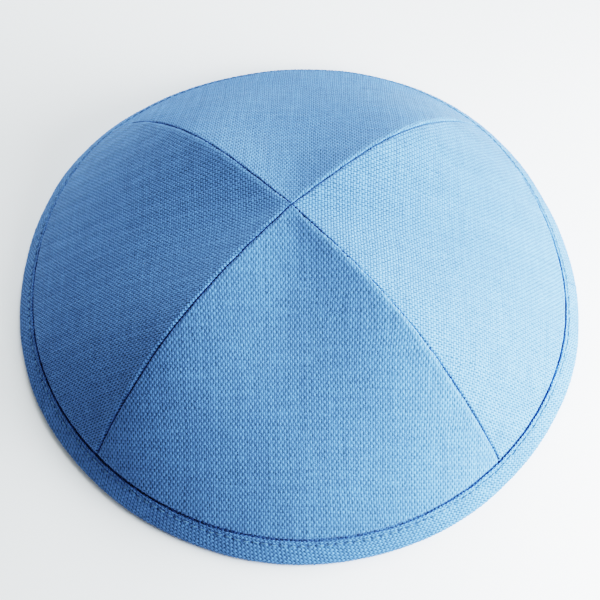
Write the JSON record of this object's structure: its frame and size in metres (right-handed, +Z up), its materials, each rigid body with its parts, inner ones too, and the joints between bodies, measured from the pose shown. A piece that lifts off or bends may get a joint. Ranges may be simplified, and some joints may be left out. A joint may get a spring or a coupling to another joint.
{
  "type": "skullcap",
  "caption": "Shallow round skullcap sewn from curved linen panels that meet at the crown, with a folded linen band round the rim",
  "frame": {"origin": "middle of the rim's box, on the surface that the cap rests on", "axes": "+Z up through the crown, -Y towards the front of the cap, +X to the right as seen from the front"},
  "size_m": [0.1676, 0.1722, 0.0479],
  "materials": {
    "linen": "matt plain-weave linen, sky blue"
  },
  "bodies": {
    "root": {"panel_front": "linen", "panel_right": "linen", "panel_back": "linen", "panel_left": "linen", "rim_band": "linen"}
  },
  "joints": []
}
